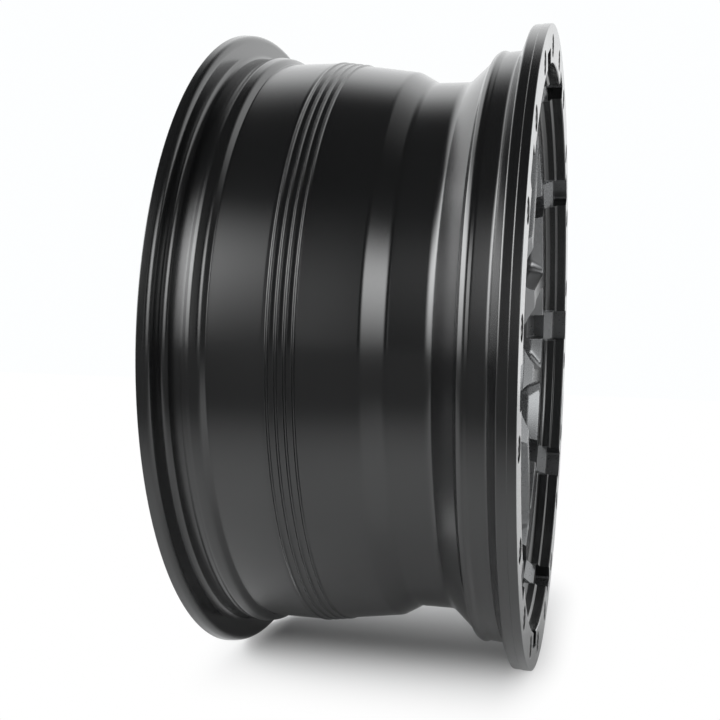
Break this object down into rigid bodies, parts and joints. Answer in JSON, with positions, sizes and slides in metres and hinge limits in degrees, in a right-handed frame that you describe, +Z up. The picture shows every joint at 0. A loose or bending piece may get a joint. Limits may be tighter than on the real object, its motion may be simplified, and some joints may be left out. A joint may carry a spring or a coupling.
{
  "type": "alloy wheel",
  "caption": "One-piece cast car wheel with slim twin spokes, a sunk face, a bolted and notched outer ring, plain hub and centre cap, in satin black.",
  "frame": {"origin": "centre of the wheel, on the axle line halfway between the two rim flanges", "axes": "+Y along the axle towards the vehicle, so the street side faces -Y; +Z up, +X to the right when the street side is seen"},
  "size_m": [0.4716, 0.2272, 0.4716],
  "materials": {
    "wheel_paint": "satin black paint on the rim and ring, gunmetal paint on the spokes and inside the windows, over cast aluminium",
    "bolt_steel": "black oxide",
    "cap_plastic": "satin black paint over moulded plastic",
    "spring_steel": "bright zinc-plated wire"
  },
  "bodies": {
    "root": {"wheel": "wheel_paint", "ring_bolts": "bolt_steel", "centre_cap": "cap_plastic", "cap_spring_ring": "spring_steel"}
  },
  "joints": []
}
